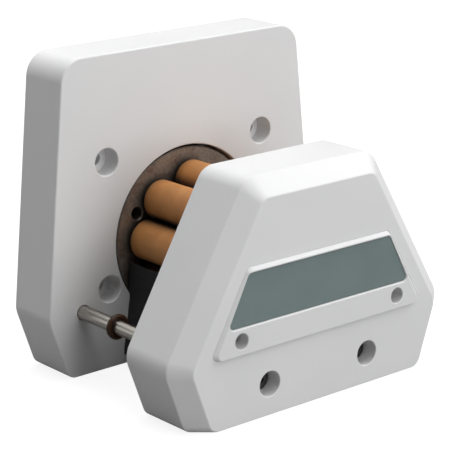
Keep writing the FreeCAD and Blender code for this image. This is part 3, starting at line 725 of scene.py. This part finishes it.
def dress_cad_nodes():
    """Gives every CAD node that stays its material."""
    black_rubber = make_rubber("black_rubber", (0.012, 0.012, 0.012), (0.022, 0.022, 0.022))
    for material, names in (
            (make_black_plastic(), ["saddle_block"]),
            (make_rod_steel(), nodes_like("guide_rod")),
            (make_disc_steel(), nodes_like("rotor_disc")),
            (make_metal("turned_steel"), ["rotor_shaft", "disc_keys"] + nodes_like("_axle")),
            (make_metal("bearing_steel"), nodes_like("bearing_outer", "bearing_inner", "bearing_balls")),
            (make_metal("spring_steel"), ["shaft_circlips", "bearing_wave_washer"]),
            (make_metal("bush_bronze"), nodes_like("_bushes")),
            (black_rubber, nodes_like("thrust_washers", "bearing_seals")),
            (make_roller_plastic(), [name for name in nodes_like("roller_") if name[-1].isdigit()])):
        for name in names:
            mesh = NODES[name].data
            mesh.materials.clear()
            mesh.materials.append(material)


# ---------------------------------------------------------------- stage, light and camera

def stage_material(name, lightness, glow=0.0):
    """A matt material with a tone that drifts a little, and a glow of its own."""
    surface = Surface(name)
    tint = surface.mixed(surface.noise(3.0), (lightness,) * 3, (lightness + STAGE_DRIFT,) * 3)
    surface.links.new(tint, surface.shader.inputs["Base Color"])
    surface.fix("Roughness", 1.0)
    surface.fix("Specular IOR Level", 0.0)
    surface.fix("Emission Color", (1.0, 1.0, 1.0, 1.0))
    surface.fix("Emission Strength", glow)
    return surface.material


def stage_piece(name, mesh, material):
    mesh.materials.append(material)
    thing = linked(name, mesh)
    return thing


def stage_plane(name, z, material):
    """A level square as large as the stage."""
    mesh = bpy.data.meshes.new(name)
    corners = [(side_x * FLOOR_HALF, side_y * FLOOR_HALF, z)
               for side_x, side_y in ((-1, -1), (1, -1), (1, 1), (-1, 1))]
    mesh.from_pydata(corners, [], [(0, 1, 2, 3)])
    return stage_piece(name, mesh, material)


def stage_dome(name, material):
    """The upper half of a sphere that meets the floor's sides."""
    bm = bmesh.new()
    bmesh.ops.create_uvsphere(bm, u_segments=64, v_segments=32, radius=FLOOR_HALF)
    below = [vert for vert in bm.verts if vert.co.z < -MM]
    bmesh.ops.delete(bm, geom=below, context="VERTS")
    return stage_piece(name, mesh_from(name, bm), material)


def make_stage():
    """The pale floor and dome that only the camera sees, and the card that it doesn't see."""
    floor = stage_plane("floor", 0.0, stage_material("pale_floor", FLOOR_SHADE, FLOOR_GLOW))
    dome = stage_dome("backdrop", stage_material("pale_backdrop", DOME_SHADE, DOME_GLOW))
    for thing in (floor, dome):
        thing.visible_diffuse = False
        thing.visible_glossy = False
        thing.visible_shadow = False
    card = stage_plane("bounce_card", CARD_Z, stage_material("grey_card", CARD_SHADE))
    card.visible_camera = False


def make_studio_light():
    """A nearly dark studio, so that the softboxes shape the object."""
    world = bpy.data.worlds.new("studio")
    world.use_nodes = True
    background = world.node_tree.nodes["Background"]
    background.inputs["Color"].default_value = (1.0, 1.0, 1.0, 1.0)
    background.inputs["Strength"].default_value = WORLD_STRENGTH
    bpy.context.scene.world = world
    for name, (location, power) in SOFTBOXES.items():
        data = bpy.data.lights.new(name + "_softbox", "AREA")
        data.shape = "SQUARE"
        data.size = SOFTBOX_SIZE
        data.energy = power
        light = linked(name + "_softbox", data)
        light.location = location
        light.rotation_mode = "QUATERNION"
        light.rotation_quaternion = (SOFTBOX_TARGET - light.location).to_track_quat("-Z", "Y")
        light.visible_camera = False


def make_camera():
    azimuth = math.radians(CAMERA_AZIMUTH_DEG)
    elevation = math.radians(CAMERA_ELEVATION_DEG)
    back = Vector((math.sin(azimuth) * math.cos(elevation),
                   -math.cos(azimuth) * math.cos(elevation),
                   math.sin(elevation)))
    data = bpy.data.cameras.new("camera")
    data.lens = CAMERA_LENS_MM
    data.sensor_width = SENSOR_MM
    data.clip_start, data.clip_end = CAMERA_CLIP
    camera = linked("camera", data)
    camera.location = CAMERA_TARGET + back * CAMERA_DISTANCE
    look = (-back).to_track_quat("-Z", "Y").to_matrix()
    roll = Matrix.Rotation(math.radians(CAMERA_ROLL_DEG), 3, "Z")
    camera.rotation_mode = "QUATERNION"
    camera.rotation_quaternion = (look @ roll).to_quaternion()
    bpy.context.scene.camera = camera


bpy.context.scene.view_settings.view_transform = "Standard"
make_camera()
make_studio_light()
make_stage()
white_plastic = make_white_plastic()
make_plate_shell(white_plastic)
make_housing_shell(white_plastic)
make_badge_shell(white_plastic)
make_label(make_label_film())
make_screws(make_metal("black_steel"), make_metal("zinc_steel"))
brown_rubber = make_rubber("brown_rubber", (0.030, 0.012, 0.005), (0.070, 0.030, 0.013))
make_ring("right", 1, brown_rubber)
make_ring("left", -1, brown_rubber)
dress_cad_nodes()
